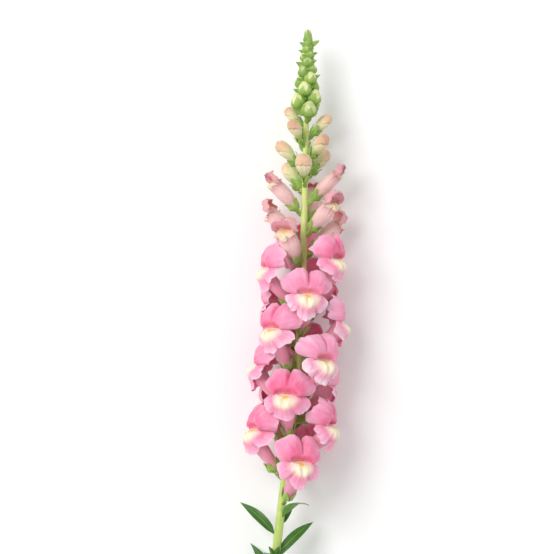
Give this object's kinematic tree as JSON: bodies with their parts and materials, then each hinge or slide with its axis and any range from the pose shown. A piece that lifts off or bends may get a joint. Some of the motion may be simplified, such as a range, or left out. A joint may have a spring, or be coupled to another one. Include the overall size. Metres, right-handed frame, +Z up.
{
  "type": "snapdragon stem",
  "caption": "Cut snapdragon stem lying down: a spike of two-lipped florets opening into half-open florets, pale buds and green tip buds, above a leafy stem.",
  "frame": {"origin": "centre of the bounding box in plan, on the surface the stem lies on", "axes": "+Y along the stem from its cut end to the flower tip, +Z up, +X to the right seen from above"},
  "size_m": [0.113, 0.6012, 0.0672],
  "materials": {
    "green": "satin",
    "open_petal": "satin",
    "dusty_petal": "satin",
    "pale_petal": "satin"
  },
  "bodies": {
    "root": {"leafy_stem": "green", "open_floret_01": "open_petal", "open_floret_02": "open_petal", "open_floret_03": "open_petal", "open_floret_04": "open_petal", "open_floret_05": "open_petal", "open_floret_06": "open_petal", "open_floret_07": "open_petal", "open_floret_08": "open_petal", "open_floret_09": "open_petal", "open_floret_10": "open_petal", "open_floret_11": "open_petal", "open_floret_12": "open_petal", "open_floret_13": "open_petal", "open_floret_14": "open_petal", "open_floret_15": "open_petal", "open_floret_16": "open_petal", "open_floret_17": "open_petal", "open_floret_18": "open_petal", "half_open_floret_19": "dusty_petal", "half_open_floret_20": "dusty_petal", "half_open_floret_21": "dusty_petal", "half_open_floret_22": "dusty_petal", "half_open_floret_23": "dusty_petal", "half_open_floret_24": "dusty_petal", "half_open_floret_25": "dusty_petal", "pale_bud_26": "pale_petal", "pale_bud_27": "pale_petal", "pale_bud_28": "pale_petal", "pale_bud_29": "pale_petal", "pale_bud_30": "pale_petal", "pale_bud_31": "pale_petal", "pale_bud_32": "pale_petal", "pale_bud_33": "pale_petal", "pale_bud_34": "pale_petal"}
  },
  "joints": []
}
